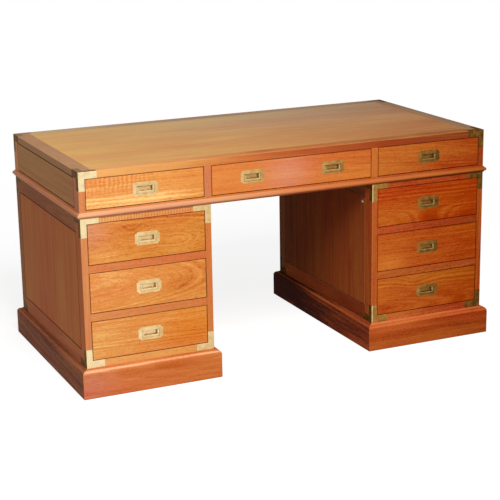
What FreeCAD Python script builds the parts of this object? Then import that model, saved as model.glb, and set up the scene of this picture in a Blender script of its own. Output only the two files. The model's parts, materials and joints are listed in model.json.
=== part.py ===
import FreeCAD, Part
import math
import os

V = FreeCAD.Vector
X_AXIS = V(1, 0, 0)
Y_AXIS = V(0, 1, 0)
Z_AXIS = V(0, 0, 1)
NEARLY_ZERO = 1e-6

# Campaign desk: a top box with three drawers stands on two pedestals of three
# drawers each. Millimetres. X runs along the desk, the drawers face -Y, Z is up,
# and the origin is on the floor under the middle of the desk.

# Plan
desk_width = 1524.0
desk_depth = 762.0
pedestal_width = 456.0

# Heights, stacked from the floor up
plinth_height = 100.0
bottom_rail = 25.0
lower_drawer = 135.0
middle_drawer = 138.0
upper_drawer = 139.0
mid_rail = 26.0
top_rail = 19.0
base_frame_height = 26.0
top_drawer = 104.0
top_thickness = 24.0

# Frames and their flush panels
side_thickness = 22.0
stile_width = 50.0
pedestal_head = 52.0
pedestal_foot = 53.0
divider_thickness = 26.0
muntin_width = 50.0
rail_depth = 50.0
panel_thickness = 14.0
shadow_gap = 3.0
tongue_set = 5.0
tongue_thickness = 5.0
tongue_length = 6.0
groove_clearance = 0.5
arris_chamfer = 1.2

# Writing top
top_frame_width = 52.0
top_panel_thickness = 18.0
top_panel_gap = 0.6

# Base frame of the top box
base_rail_depth = 70.0
base_end_width = 40.0
base_cross_width = 80.0
dust_panel_thickness = 6.0
dust_panel_up = 10.0
guide_height = 16.0

# Boards and runners in the pedestals
runner_width = 25.0
runner_thickness = 20.0
board_thickness = 12.0
board_up = 2.0

# Waist moulding and plinth, as distances out from the carcass and up
waist_height = 20.0
waist_reach = 9.0
waist_fillet = 2.0
waist_bead = 12.0
waist_lip = 3.0
plinth_reach = 20.0
plinth_ledge = 12.0
plinth_foot_depth = 12.0
plinth_fillet = 3.5
plinth_quirk = 2.5
plinth_round = 12.8
plinth_base_chamfer = 2.0

# Drawers
drawer_gap = 1.5
running_gap = 0.3
stop_gap = 0.3
front_thickness = 22.0
front_arris = 1.0
drawer_side = 12.0
drawer_back = 12.0
drawer_bottom = 6.0
drawer_groove = 6.0
back_housing = 4.0
back_set_in = 14.0
bottom_up = 10.0
side_drop = 7.0
back_drop = 6.0
tail_count = 3
tail_lap = 14.0
tail_share = 0.5
tail_slope = 1.0 / 7.0

# Recessed pull: plate, finger cup and swinging bail
plate_width = 87.0
plate_height = 45.0
plate_thickness = 2.4
plate_proud = 0.4
plate_notch = 7.5
notch_sides = 16
pocket_width = 61.0
pocket_top = 9.0
pocket_bottom = 15.8
cup_depth = 13.0
cup_wall = 2.0
cup_slope = 4.0
cup_clearance = 0.3
bail_width = 60.0
bail_thickness = 4.0
bail_arm = 6.0
bail_grip = 7.0
bail_drop = 15.0
bail_corner = 3.0
bail_end_chamfer = 1.2
pivot_up = 5.0
pin_radius = 1.25
pin_length = 1.5
pin_clearance = 0.05
pin_sides = 8
pull_offset = 152.0

# Brass corner brackets, let in flush
bracket_leg = 64.0
bracket_thickness = 2.0

# Loose tenons that locate the top box, and the stud in the kneehole
tenon_thickness = 8.0
tenon_width = 40.0
tenon_height = 28.0
tenon_inset = 100.0
tenon_clearance = 0.2
stud_radius = 5.5
stud_height = 3.0
stud_bevel = 1.6
stud_sides = 16
stud_shank_width = 3.0
stud_shank = 11.0
stud_from_front = 69.0
stud_below_head = 22.0

# Levels
floor_to_pedestal = (plinth_height + bottom_rail + lower_drawer + middle_drawer + upper_drawer
                     + 2 * mid_rail + top_rail)
foot_level = plinth_height - plinth_foot_depth
base_level = floor_to_pedestal
tier_level = base_level + base_frame_height
under_top = tier_level + top_drawer
desk_height = under_top + top_thickness

lower_opening = (plinth_height + bottom_rail, plinth_height + bottom_rail + lower_drawer)
middle_opening = (lower_opening[1] + mid_rail, lower_opening[1] + mid_rail + middle_drawer)
upper_opening = (middle_opening[1] + mid_rail, middle_opening[1] + mid_rail + upper_drawer)
top_opening = (tier_level, under_top)
pedestal_openings = [lower_opening, middle_opening, upper_opening]

# Plan lines
half_width = desk_width / 2
half_depth = desk_depth / 2
front_face = -half_depth
back_face = half_depth
inner_back = back_face - side_thickness
between_stiles = (front_face + stile_width, back_face - stile_width)
left_bay = (-half_width + side_thickness, -half_width + pedestal_width - side_thickness)
right_bay = (-left_bay[1], -left_bay[0])
centre_bay = (left_bay[1] + divider_thickness, right_bay[0] - divider_thickness)
divider_middle = (right_bay[0] + centre_bay[1]) / 2
carcass_x = (-half_width, half_width)
carcass_y = (front_face, back_face)


# ---- Small tools ----------------------------------------------------------

def span(a, b):
    """Two values as a low and high pair."""
    return (min(a, b), max(a, b))


def grown(pair, by):
    """A low and high pair made longer by the same amount at both ends."""
    return (pair[0] - by, pair[1] + by)


def mirrored(pair):
    """A low and high pair on the other side of zero."""
    return (-pair[1], -pair[0])


def block(x, y, z):
    """Rectangular solid between low and high pairs."""
    return Part.makeBox(x[1] - x[0], y[1] - y[0], z[1] - z[0], V(x[0], y[0], z[0]))


def across_x(thickness, y, z):
    """Board whose faces look along X."""
    return block(thickness, y, z)


def across_y(thickness, x, z):
    """Board whose faces look along Y."""
    return block(x, thickness, z)


def across_z(thickness, x, y):
    """Board whose faces look along Z."""
    return block(x, y, thickness)


def joined(solids):
    """One solid made of touching solids."""
    return solids[0].multiFuse(solids[1:]).removeSplitter()


def cut_by(pieces, cutters):
    """The pieces, each less the cutters that reach it."""
    result = []
    for piece in pieces:
        near = [cutter for cutter in cutters if piece.BoundBox.intersect(cutter.BoundBox)]
        result += piece.cut(near).Solids if near else [piece]
    return result


def kept_in(pieces, envelope):
    """The pieces trimmed to an envelope with softened edges."""
    return [solid for piece in pieces for solid in piece.common(envelope).Solids]


def edges_along(shape, axis):
    """The straight edges of a shape that run along an axis, given as a unit vector."""
    return [edge for edge in shape.Edges
            if isinstance(edge.Curve, Part.Line)
            and edge.Curve.Direction.cross(axis).Length < NEARLY_ZERO]


def edges_at(shape, axis, height):
    """The edges of a shape that lie in the plane square to an axis at that height along it."""
    return [edge for edge in shape.Edges
            if all(abs(vertex.Point.dot(axis) - height) < NEARLY_ZERO for vertex in edge.Vertexes)]


def softened(x, y, z, with_top):
    """A block whose upright edges, and top edges if asked, are taken off by arris_chamfer."""
    body = block(x, y, z)
    chosen = edges_along(body, Z_AXIS)
    if with_top:
        chosen += edges_at(body, Z_AXIS, z[1])
    return body.makeChamfer(arris_chamfer, chosen)


def write(name, pieces):
    """One STEP file per node, one solid or a group of separate solids."""
    solids = [solid for piece in pieces for solid in piece.Solids]
    shape = solids[0] if len(solids) == 1 else Part.makeCompound(solids)
    shape.exportStep("parts/" + name + ".step")


# ---- Frames with flush panels ---------------------------------------------

def tongue_span(face, inward):
    """Depth of the tongue and its groove behind a face."""
    return span(face + inward * tongue_set, face + inward * (tongue_set + tongue_thickness))


def panel(place, face, inward, a, b, thickness=panel_thickness, gap=shadow_gap):
    """Flush panel: its face stops short of the frame, a tongue all round sits in the frame's groove."""
    body = place(span(face, face + inward * thickness), grown(a, -gap), grown(b, -gap))
    tongue = place(tongue_span(face, inward), grown(a, tongue_length), grown(b, tongue_length))
    return joined([body, tongue])


def groove(place, face, inward, a, b):
    """The groove that takes a panel's tongue, as a solid to cut from the frame round opening a by b."""
    depth = tongue_length + groove_clearance
    return place(tongue_span(face, inward), grown(a, depth), grown(b, depth))


# ---- Brass corner brackets -------------------------------------------------

def corner_bracket(x, y, z, level, on_top):
    """Bent brass bracket on an upright arris.

    x and y are (arris, direction into the desk), z is (end of the arris, direction along it),
    and level is the height of its level legs. With on_top it also turns over the top face.
    """
    skin_x = span(x[0], x[0] + x[1] * bracket_thickness)
    skin_y = span(y[0], y[0] + y[1] * bracket_thickness)
    skin_z = span(z[0], z[0] + z[1] * bracket_thickness)
    long_x = span(x[0], x[0] + x[1] * bracket_leg)
    long_y = span(y[0], y[0] + y[1] * bracket_leg)
    long_z = span(z[0], z[0] + z[1] * bracket_leg)
    wide_x = span(x[0], x[0] + x[1] * side_thickness)
    wide_y = span(y[0], y[0] + y[1] * side_thickness)
    level_z = span(z[0], z[0] + z[1] * level)
    legs = [block(long_x, skin_y, level_z), block(wide_x, skin_y, long_z),
            block(skin_x, long_y, level_z), block(skin_x, wide_y, long_z)]
    if on_top:
        legs += [block(long_x, wide_y, skin_z), block(wide_x, long_y, skin_z)]
    return joined(legs)


def arrises(x):
    """The four upright edges of a carcass of width x, each with its directions inwards."""
    return [((ax, dx), (ay, dy))
            for ax, dx in ((x[0], 1), (x[1], -1))
            for ay, dy in ((front_face, 1), (back_face, -1))]


def top_box_brackets():
    """Four three-faced brackets on the corners of the writing top."""
    return [corner_bracket(x, y, (desk_height, -1), top_thickness, True)
            for x, y in arrises(carcass_x)]


def pedestal_brackets(x):
    """Eight two-faced brackets, at the head and foot of each upright edge of a pedestal."""
    heads = [corner_bracket(ax, ay, (base_level, -1), top_rail, False) for ax, ay in arrises(x)]
    feet = [corner_bracket(ax, ay, (plinth_height, 1), bottom_rail, False) for ax, ay in arrises(x)]
    return heads + feet


# ---- Mitred mouldings --------------------------------------------------------

def mitred_strip(length, outline, reach):
    """A moulding along X in front of a face at y = 0, cut at 45 degrees at both ends.

    outline is a closed wire in the YZ plane, reach its (nearest, farthest) distance out.
    """
    far_end = length / 2 + reach[1]
    bar = Part.Face(outline).extrude(V(2 * far_end, 0, 0))
    bar.translate(V(-far_end, 0, 0))
    corners = [V(-length / 2 - reach[0], -reach[0], 0), V(length / 2 + reach[0], -reach[0], 0),
               V(length / 2 + reach[1], -reach[1], 0), V(-length / 2 - reach[1], -reach[1], 0)]
    plan = Part.Face(Part.makePolygon(corners + [corners[0]])).extrude(V(0, 0, bar.BoundBox.ZMax))
    return bar.common(plan)


def mitred_frame(x, y, outline, reach):
    """Four mitred strips round a rectangular carcass."""
    centre = V((x[0] + x[1]) / 2, (y[0] + y[1]) / 2, 0)
    lengths = (x[1] - x[0], y[1] - y[0])
    strips = []
    for turn in range(4):
        strip = mitred_strip(lengths[turn % 2], outline, reach)
        strip.translate(V(0, -lengths[(turn + 1) % 2] / 2, 0))
        strip.rotate(V(0, 0, 0), Z_AXIS, 90 * turn)
        strip.translate(centre)
        strips.append(strip)
    return strips


def line(a, b):
    """Straight edge between (out, up) points of a moulding's outline."""
    return Part.makeLine(V(0, -a[0], a[1]), V(0, -b[0], b[1]))


def bow(a, middle, b):
    """Arc through three (out, up) points of a moulding's outline."""
    return Part.Arc(V(0, -a[0], a[1]), V(0, -middle[0], middle[1]), V(0, -b[0], b[1])).toShape()


def waist_outline():
    """Fillet, hollow, round bead and lip, from the top of the moulding down."""
    head = base_level + waist_height
    bead_top = base_level + waist_height - waist_fillet * 2
    bead_foot = bead_top - waist_bead
    neck = (waist_reach + waist_fillet) / 2
    hollow = ((waist_fillet + neck) / 2 - waist_fillet / 4, (head + bead_top) / 2 - waist_fillet / 4)
    points = [(0, head), (waist_fillet, head), (neck, bead_top), (neck, bead_foot),
              (waist_lip, bead_foot), (waist_lip, base_level), (0, base_level)]
    return Part.Wire([line(points[0], points[1]),
                      bow(points[1], hollow, points[2]),
                      bow(points[2], (waist_reach, (bead_top + bead_foot) / 2), points[3]),
                      line(points[3], points[4]),
                      line(points[4], points[5]),
                      line(points[5], points[6]),
                      line(points[6], points[0])])


def plinth_outline():
    """Skirting with a ledge for the carcass, a fillet, a quirk and a rounded shoulder."""
    top = plinth_height
    quirk = top - plinth_quirk
    shoulder = quirk - plinth_round
    half_way = (plinth_fillet + (plinth_reach - plinth_fillet) * math.sqrt(0.5),
                shoulder + plinth_round * math.sqrt(0.5))
    chamfer = plinth_base_chamfer
    points = [(-plinth_ledge, 0), (-plinth_ledge, foot_level), (0, foot_level), (0, top),
              (plinth_fillet, top), (plinth_fillet, quirk), (plinth_reach, shoulder),
              (plinth_reach, chamfer), (plinth_reach - chamfer, 0)]
    edges = [line(points[i], points[i + 1]) for i in range(5)]
    edges.append(bow(points[5], half_way, points[6]))
    edges += [line(points[6], points[7]), line(points[7], points[8]), line(points[8], points[0])]
    return Part.Wire(edges)


# ---- Writing top and top box ---------------------------------------------------

top_field = (grown(carcass_x, -top_frame_width), grown(carcass_y, -top_frame_width))
top_field_place = (across_z, desk_height, -1, top_field[0], top_field[1])
back_stile = stile_width - side_thickness
bay_middles = (-divider_middle, divider_middle)


def top_side_place(side):
    """Where the flush panel of a top box side goes; side is -1 at the left, 1 at the right."""
    return (across_x, side * half_width, -side, between_stiles, top_opening)


def top_back_bays():
    """The three panel openings across the back of the top box."""
    inner = (left_bay[0] + back_stile, right_bay[1] - back_stile)
    half_muntin = muntin_width / 2
    return [(inner[0], bay_middles[0] - half_muntin),
            (bay_middles[0] + half_muntin, bay_middles[1] - half_muntin),
            (bay_middles[1] + half_muntin, inner[1])]


def top_back_place(bay):
    """Where a flush panel of the top box back goes."""
    return (across_y, back_face, -1, bay, top_opening)


def top_box_grooves():
    """Every groove in the frames of the top box."""
    sides = [groove(*top_side_place(side)) for side in (-1, 1)]
    backs = [groove(*top_back_place(bay)) for bay in top_back_bays()]
    return sides + backs + [groove(*top_field_place)]


def top_frame_rails():
    """End rails that run through and long rails between them."""
    z = (under_top, desk_height)
    left_end = span(-half_width, -half_width + top_frame_width)
    front = span(front_face, front_face + top_frame_width)
    return [block(left_end, carcass_y, z), block(mirrored(left_end), carcass_y, z),
            block(top_field[0], front, z), block(top_field[0], mirrored(front), z)]


def top_box_side_frames():
    """Two stiles and a bottom rail on each side."""
    pieces = []
    for side in (-1, 1):
        x = span(side * half_width, side * (half_width - side_thickness))
        pieces += [block(x, (front_face, between_stiles[0]), (base_level, under_top)),
                   block(x, (between_stiles[1], back_face), (base_level, under_top)),
                   block(x, between_stiles, (base_level, tier_level))]
    return pieces


def top_box_back_frame():
    """Two stiles, two muntins and a bottom rail between the side frames."""
    y = (inner_back, back_face)
    bays = top_back_bays()
    inner = (bays[0][0], bays[2][1])
    return [block((left_bay[0], inner[0]), y, (base_level, under_top)),
            block((inner[1], right_bay[1]), y, (base_level, under_top)),
            block(inner, y, (base_level, tier_level)),
            block((bays[0][1], bays[1][0]), y, top_opening),
            block((bays[1][1], bays[2][0]), y, top_opening)]


def top_box_dividers():
    """Upright boards between the drawers, from the front to the back frame."""
    left = (left_bay[1], centre_bay[0])
    return [block(x, (front_face, inner_back), top_opening) for x in (left, mirrored(left))]


def base_openings():
    """The three openings of the base frame, along X, with their common extent along Y."""
    half_cross = base_cross_width / 2
    left = (left_bay[0] + base_end_width, bay_middles[0] - half_cross)
    y = (front_face + base_rail_depth, inner_back - base_rail_depth)
    return [left, (left[1] + base_cross_width, -left[1] - base_cross_width), mirrored(left)], y


def dust_panels():
    """Thin boards held in the grooves of the base frame."""
    openings, y = base_openings()
    z = (base_level + dust_panel_up, base_level + dust_panel_up + dust_panel_thickness)
    return [block(grown(x, tongue_length), grown(y, tongue_length), z) for x in openings]


def top_box_base_frame():
    """Front and back rails, four runner rails and a drawer guide inside each side panel."""
    openings, y = base_openings()
    z = (base_level, tier_level)
    whole = (left_bay[0], right_bay[1])
    rails = [block(whole, (front_face, y[0]), z), block(whole, (y[1], inner_back), z),
             block((whole[0], openings[0][0]), y, z), block((openings[2][1], whole[1]), y, z),
             block((openings[0][1], openings[1][0]), y, z), block((openings[1][1], openings[2][0]), y, z)]
    rails = cut_by(rails, dust_panels())
    guide = (-half_width + panel_thickness, left_bay[0])
    guide_z = (tier_level, tier_level + guide_height)
    guides = [block(x, between_stiles, guide_z) for x in (guide, mirrored(guide))]
    return rails + guides


# ---- Pedestals ---------------------------------------------------------------------

pedestal_sides_z = (foot_level, base_level)
pedestal_field_z = (plinth_height + pedestal_foot, base_level - pedestal_head)


def pedestal_side_place(face, inward):
    """Where the flush panel of a pedestal side goes."""
    return (across_x, face, inward, between_stiles, pedestal_field_z)


def pedestal_back_place(bay):
    """Where the flush panel of a pedestal back goes."""
    return (across_y, back_face, -1, grown(bay, -back_stile), pedestal_field_z)


def pedestal_side_frame(face, inward):
    """Two stiles, head rail and foot rail."""
    x = span(face, face + inward * side_thickness)
    pieces = [block(x, (front_face, between_stiles[0]), pedestal_sides_z),
              block(x, (between_stiles[1], back_face), pedestal_sides_z),
              block(x, between_stiles, (pedestal_field_z[1], base_level)),
              block(x, between_stiles, (foot_level, pedestal_field_z[0]))]
    return cut_by(pieces, [groove(*pedestal_side_place(face, inward))])


def pedestal_back_frame(bay):
    """Two narrow stiles, head rail and foot rail between the side frames."""
    y = (inner_back, back_face)
    inner = grown(bay, -back_stile)
    pieces = [block((bay[0], inner[0]), y, pedestal_sides_z),
              block((inner[1], bay[1]), y, pedestal_sides_z),
              block(inner, y, (pedestal_field_z[1], base_level)),
              block(inner, y, (foot_level, pedestal_field_z[0]))]
    return cut_by(pieces, [groove(*pedestal_back_place(bay))])


def pedestal_drawer_rails(bay):
    """Front rails under, between and over the drawers."""
    y = (front_face, front_face + rail_depth)
    return [block(bay, y, (foot_level, lower_opening[0])),
            block(bay, y, (lower_opening[1], middle_opening[0])),
            block(bay, y, (middle_opening[1], upper_opening[0])),
            block(bay, y, (upper_opening[1], base_level))]


def pedestal_runners(bay):
    """A pair of runners under each drawer, and a guide strip between each and the side panel."""
    runners = []
    strip_width = side_thickness - panel_thickness
    behind_rail = (front_face + rail_depth, inner_back)
    for opening in pedestal_openings:
        strip_foot = max(opening[0] - runner_thickness, pedestal_field_z[0])
        strip_head = opening[0] + guide_height
        for edge, inward in ((bay[0], 1), (bay[1], -1)):
            runners.append(block(span(edge, edge + inward * runner_width), behind_rail,
                                 (opening[0] - runner_thickness, opening[0])))
            # beside the lowest drawer the side frame's foot rail is the guide
            if strip_head > strip_foot:
                runners.append(block(span(edge, edge - inward * strip_width), between_stiles,
                                     (strip_foot, strip_head)))
    return runners


def pedestal_boards(bay):
    """Bottom board and top board behind the front rails."""
    y = (front_face + rail_depth, inner_back)
    bottom = foot_level + board_up
    top = base_level - board_thickness
    return [block(bay, y, (bottom, bottom + board_thickness)),
            block(bay, y, (top, base_level))]


# ---- Drawers --------------------------------------------------------------------------

def tails(x, y_shoulder, y_end, z):
    """Row of dovetails through a drawer side of thickness x, wider at y_end than at the shoulder."""
    pitch = (z[1] - z[0]) / tail_count
    spread = abs(y_end - y_shoulder) * tail_slope
    result = []
    for number in range(tail_count):
        middle = z[0] + pitch * (number + 0.5)
        neck = pitch * tail_share / 2
        corners = [V(x[0], y_shoulder, middle - neck), V(x[0], y_shoulder, middle + neck),
                   V(x[0], y_end, middle + neck + spread), V(x[0], y_end, middle - neck - spread)]
        face = Part.Face(Part.makePolygon(corners + [corners[0]]))
        result.append(face.extrude(V(x[1] - x[0], 0, 0)))
    return result


def drawer_front_blank(x, z):
    """Front board with its four show edges softened."""
    board = block(x, (front_face, front_face + front_thickness), z)
    return board.makeChamfer(front_arris, edges_at(board, Y_AXIS, front_face))


def drawer(x_opening, z_opening, pulls):
    """Front and box for an opening, with a seat and a mortise for each recessed pull.

    The sides are lap-dovetailed into the front. The back is housed in the sides, and the bottom
    slides under it into grooves in the sides and the front.
    """
    x = grown(x_opening, -drawer_gap)
    z = grown(z_opening, -drawer_gap)
    inside = grown(x, -drawer_side)
    front_back = front_face + front_thickness
    rear = inner_back - stop_gap
    back_y = (rear - back_set_in - drawer_back, rear - back_set_in)
    side_z = (z_opening[0] + running_gap, z_opening[1] - side_drop)
    groove_z = (side_z[0] + bottom_up, side_z[0] + bottom_up + drawer_bottom)
    back_z = (groove_z[1], side_z[1] - back_drop)
    groove_block = block(grown(inside, drawer_groove), (front_back - drawer_groove, rear), groove_z)
    housing_block = block(grown(inside, back_housing), back_y, (back_z[0], side_z[1]))

    sides = []
    all_tails = []
    for wall in ((x[0], inside[0]), (inside[1], x[1])):
        side_tails = tails(wall, front_back, front_back - tail_lap, (groove_z[0], side_z[1]))
        board = block(wall, (front_back, rear), side_z)
        sides.append(joined([board] + side_tails).cut([groove_block, housing_block]))
        all_tails += side_tails

    seats = [at_pull(seat, pull) for pull in pulls for seat in (plate(), cup_block(cup_clearance))]
    front = drawer_front_blank(x, z).cut(all_tails + [groove_block] + seats)
    back = block(grown(inside, back_housing), back_y, back_z)
    bottom_edge = drawer_groove - groove_clearance
    bottom = block(grown(inside, bottom_edge), (front_back - bottom_edge, back_y[1]), groove_z)
    return front, sides + [back, bottom]


# ---- Recessed pulls -----------------------------------------------------------------------

def many_sided(radius, sides, centre, across):
    """Regular polygon face that lies along an axis and Z, its corners at a radius round a centre."""
    turns = [2 * math.pi * side / sides for side in range(sides)]
    corners = [centre + across * radius * math.cos(turn) + Z_AXIS * radius * math.sin(turn)
               for turn in turns]
    return Part.Face(Part.makePolygon(corners + [corners[0]]))


def at_pull(shape, pull):
    """Move a shape drawn round the origin to a pull's centre on the drawer face."""
    return shape.translated(V(pull[0], front_face, pull[1]))


def plate():
    """Plate let into the drawer's face, with a hollow quarter round, in flats, out of each corner."""
    half = (plate_width / 2, plate_height / 2)
    face = -plate_proud
    slab = block((-half[0], half[0]), (face, face + plate_thickness), (-half[1], half[1]))
    corners = [V(side * half[0], face, end * half[1]) for side in (-1, 1) for end in (-1, 1)]
    notches = [many_sided(plate_notch, notch_sides, corner, X_AXIS).extrude(Y_AXIS * plate_thickness)
               for corner in corners]
    return slab.cut(notches)


def cup_block(clearance):
    """Outside of the finger cup behind the plate, grown by a clearance for its mortise."""
    across = pocket_width / 2 + cup_wall + clearance
    up = (-pocket_bottom - cup_wall - clearance, pocket_top + cup_wall + clearance)
    return block((-across, across), (0, cup_depth + clearance), up)


def pull_pocket():
    """Hollow of the finger cup, with sloped corners round its floor."""
    floor = cup_depth - cup_wall
    across = pocket_width / 2
    hollow = block((-across, across), (-plate_proud, floor), (-pocket_bottom, pocket_top))
    return hollow.makeChamfer(cup_slope, edges_at(hollow, Y_AXIS, floor))


def pivot_bar(flat_radius, half_length):
    """Bar along a bail's pivot line, with pin_sides flats at flat_radius from the line."""
    corner_radius = flat_radius / math.cos(math.pi / pin_sides)
    centre = V(-half_length, bail_thickness / 2 - plate_proud, pivot_up)
    return many_sided(corner_radius, pin_sides, centre, Y_AXIS).extrude(X_AXIS * 2 * half_length)


def pull_plate():
    """Brass plate and finger cup in one piece, with the two blind holes that hold the bail's pins."""
    hole_reach = bail_width / 2 + pin_length + pin_clearance
    holes = pivot_bar(pin_radius + pin_clearance, hole_reach)
    return joined([plate(), cup_block(0)]).cut([pull_pocket(), holes])


def pull_bail():
    """Swinging bail: grip, two arms and the pins they turn on, whose corners clear the holes' flats."""
    y = (-plate_proud, bail_thickness - plate_proud)
    half = bail_width / 2
    head = pivot_up + bail_thickness / 2
    outline = block((-half, half), y, (-bail_drop, head))
    feet = [edge for edge in edges_along(outline, Y_AXIS) if edge.CenterOfMass.z < 0]
    outline = outline.makeFillet(bail_corner, feet)
    outline = outline.makeChamfer(bail_end_chamfer, edges_at(outline, Z_AXIS, head))
    window = block((-half + bail_arm, half - bail_arm), y, (-bail_drop + bail_grip, head))
    arms = block((-half, half), y, (-bail_drop, head))
    pins = pivot_bar(pin_radius * math.cos(math.pi / pin_sides), half + pin_length).cut(arms)
    return joined([outline.cut(window)] + pins.Solids)


# ---- Loose tenons and stud -----------------------------------------------------------------

def tenons(extra):
    """Loose tenons between the pedestals' side frames and the top box, each grown by extra."""
    frame_middles = [half_width - side_thickness / 2, half_width - pedestal_width + side_thickness / 2]
    half = (tenon_thickness / 2 + extra, tenon_width / 2 + extra, tenon_height / 2 + extra)
    return [block(grown((side * middle, side * middle), half[0]),
                  grown((end * (half_depth - tenon_inset), end * (half_depth - tenon_inset)), half[1]),
                  grown((base_level, base_level), half[2]))
            for middle in frame_middles for side in (-1, 1) for end in (-1, 1)]


def stud_place():
    """Point on the kneehole face of the right pedestal where the stud sits."""
    return V(right_bay[0] - side_thickness, front_face + stud_from_front,
             pedestal_field_z[1] - stud_below_head)


def stud_shank_block(extra):
    """Square shank of the stud, grown by extra."""
    place = stud_place()
    half = stud_shank_width / 2 + extra
    return block((place.x, place.x + stud_shank + extra), grown((place.y, place.y), half),
                 grown((place.z, place.z), half))


def kneehole_stud():
    """Many-sided head with a bevelled crown, on a square shank that is driven into the panel."""
    rim = many_sided(stud_radius, stud_sides, stud_place(), Y_AXIS)
    head = rim.extrude(-X_AXIS * stud_height)
    crown = edges_at(head, X_AXIS, stud_place().x - stud_height)
    return joined([head.makeChamfer(stud_bevel, crown), stud_shank_block(0)])


# ---- Putting the desk together -------------------------------------------------------------------

os.makedirs("parts", exist_ok=True)

left_x = (-half_width, -half_width + pedestal_width)
right_x = mirrored(left_x)
top_envelope = softened(carcass_x, carcass_y, (base_level, desk_height), True)
left_envelope = softened(left_x, carcass_y, pedestal_sides_z, False)
right_envelope = softened(right_x, carcass_y, pedestal_sides_z, False)
brackets_top = top_box_brackets()
brackets_left = pedestal_brackets(left_x)
brackets_right = pedestal_brackets(right_x)
mortises = tenons(tenon_clearance)

# Top box
top_cutters = top_box_grooves() + brackets_top + mortises
write("top_panel", [panel(*top_field_place, thickness=top_panel_thickness, gap=top_panel_gap)])
write("top_frame_rails", kept_in(cut_by(top_frame_rails(), top_cutters), top_envelope))
write("top_box_side_frames", kept_in(cut_by(top_box_side_frames(), top_cutters), top_envelope))
write("top_box_side_panels", [panel(*top_side_place(side)) for side in (-1, 1)])
write("top_box_back_frame", cut_by(top_box_back_frame(), top_cutters))
write("top_box_back_panels", [panel(*top_back_place(bay)) for bay in top_back_bays()])
write("top_box_dividers", top_box_dividers())
write("top_box_base_frame", cut_by(top_box_base_frame(), mortises))
write("top_box_dust_panels", dust_panels())
write("waist_moulding", mitred_frame(carcass_x, carcass_y, waist_outline(), (0, waist_reach)))

# Pedestals
side_panels = []
back_frames = []
back_panels = []
drawer_rails = []
runners = []
boards = []
for name, x, bay, envelope, brackets in (("left", left_x, left_bay, left_envelope, brackets_left),
                                         ("right", right_x, right_bay, right_envelope, brackets_right)):
    frames = pedestal_side_frame(x[0], 1) + pedestal_side_frame(x[1], -1)
    panels = [panel(*pedestal_side_place(x[0], 1)), panel(*pedestal_side_place(x[1], -1))]
    frames = kept_in(cut_by(frames, brackets + mortises), envelope)
    write(name + "_pedestal_side_frames", frames)
    write(name + "_plinth", mitred_frame(x, carcass_y, plinth_outline(), (-plinth_ledge, plinth_reach)))
    side_panels += panels
    back_frames += cut_by(pedestal_back_frame(bay), brackets)
    back_panels.append(panel(*pedestal_back_place(bay)))
    drawer_rails += cut_by(pedestal_drawer_rails(bay), brackets)
    runners += pedestal_runners(bay)
    boards += pedestal_boards(bay)
write("pedestal_side_panels", cut_by(side_panels, [stud_shank_block(tenon_clearance)]))
write("pedestal_back_frames", back_frames)
write("pedestal_back_panels", back_panels)
write("pedestal_drawer_rails", drawer_rails)
write("pedestal_runners", runners)
write("pedestal_boards", boards)

# Brass corners, loose tenons and stud
write("corner_brackets", kept_in(brackets_top, top_envelope) + kept_in(brackets_left, left_envelope)
      + kept_in(brackets_right, right_envelope))
write("locating_tenons", tenons(0))
write("kneehole_stud", [kneehole_stud()])

# Drawers and their pulls
bays = {"left": left_bay, "right": right_bay, "centre": centre_bay}
drawers = [("top_left", "left", top_opening), ("top_centre", "centre", top_opening),
           ("top_right", "right", top_opening)]
for side in ("left", "right"):
    for level, opening in (("upper", upper_opening), ("middle", middle_opening), ("lower", lower_opening)):
        drawers.append((side + "_" + level, side, opening))
plate_shape = pull_plate()
bail_shape = pull_bail()
for name, bay_name, opening in drawers:
    bay = bays[bay_name]
    middle = ((bay[0] + bay[1]) / 2, (opening[0] + opening[1]) / 2)
    pulls = {"": middle}
    if bay_name == "centre":
        pulls = {"_left": (middle[0] - pull_offset, middle[1]),
                 "_right": (middle[0] + pull_offset, middle[1])}
    front, box = drawer(bay, opening, pulls.values())
    write(name + "_drawer_front", [front])
    write(name + "_drawer_box", box)
    write(name + "_pull_plate", [at_pull(plate_shape, pull) for pull in pulls.values()])
    for which, pull in pulls.items():
        write(name + which + "_bail", [at_pull(bail_shape, pull)])
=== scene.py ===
import json
import math
import random

import bmesh
import bpy
import numpy as np
from mathutils import Matrix, Vector


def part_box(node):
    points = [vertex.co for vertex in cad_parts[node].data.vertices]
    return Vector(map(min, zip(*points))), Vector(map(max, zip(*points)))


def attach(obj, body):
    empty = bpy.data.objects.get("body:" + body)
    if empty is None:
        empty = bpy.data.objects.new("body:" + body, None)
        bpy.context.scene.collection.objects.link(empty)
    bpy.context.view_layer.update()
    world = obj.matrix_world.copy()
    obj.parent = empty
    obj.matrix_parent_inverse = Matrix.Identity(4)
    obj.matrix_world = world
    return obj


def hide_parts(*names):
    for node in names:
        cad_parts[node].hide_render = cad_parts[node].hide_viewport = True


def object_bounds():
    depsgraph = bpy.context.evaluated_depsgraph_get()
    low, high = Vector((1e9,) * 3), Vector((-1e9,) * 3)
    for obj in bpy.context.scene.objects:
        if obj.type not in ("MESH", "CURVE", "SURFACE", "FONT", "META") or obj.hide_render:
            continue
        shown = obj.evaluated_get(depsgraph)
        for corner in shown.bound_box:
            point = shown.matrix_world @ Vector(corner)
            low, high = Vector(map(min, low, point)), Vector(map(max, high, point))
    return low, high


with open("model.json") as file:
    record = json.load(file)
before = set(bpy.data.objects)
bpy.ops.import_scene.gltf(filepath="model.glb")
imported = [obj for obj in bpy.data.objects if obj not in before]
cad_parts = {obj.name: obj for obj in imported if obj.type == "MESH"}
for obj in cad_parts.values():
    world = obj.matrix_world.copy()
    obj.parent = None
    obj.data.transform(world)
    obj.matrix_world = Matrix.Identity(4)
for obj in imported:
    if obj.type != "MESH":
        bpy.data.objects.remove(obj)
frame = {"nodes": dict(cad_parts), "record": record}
cad_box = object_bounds()
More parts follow.
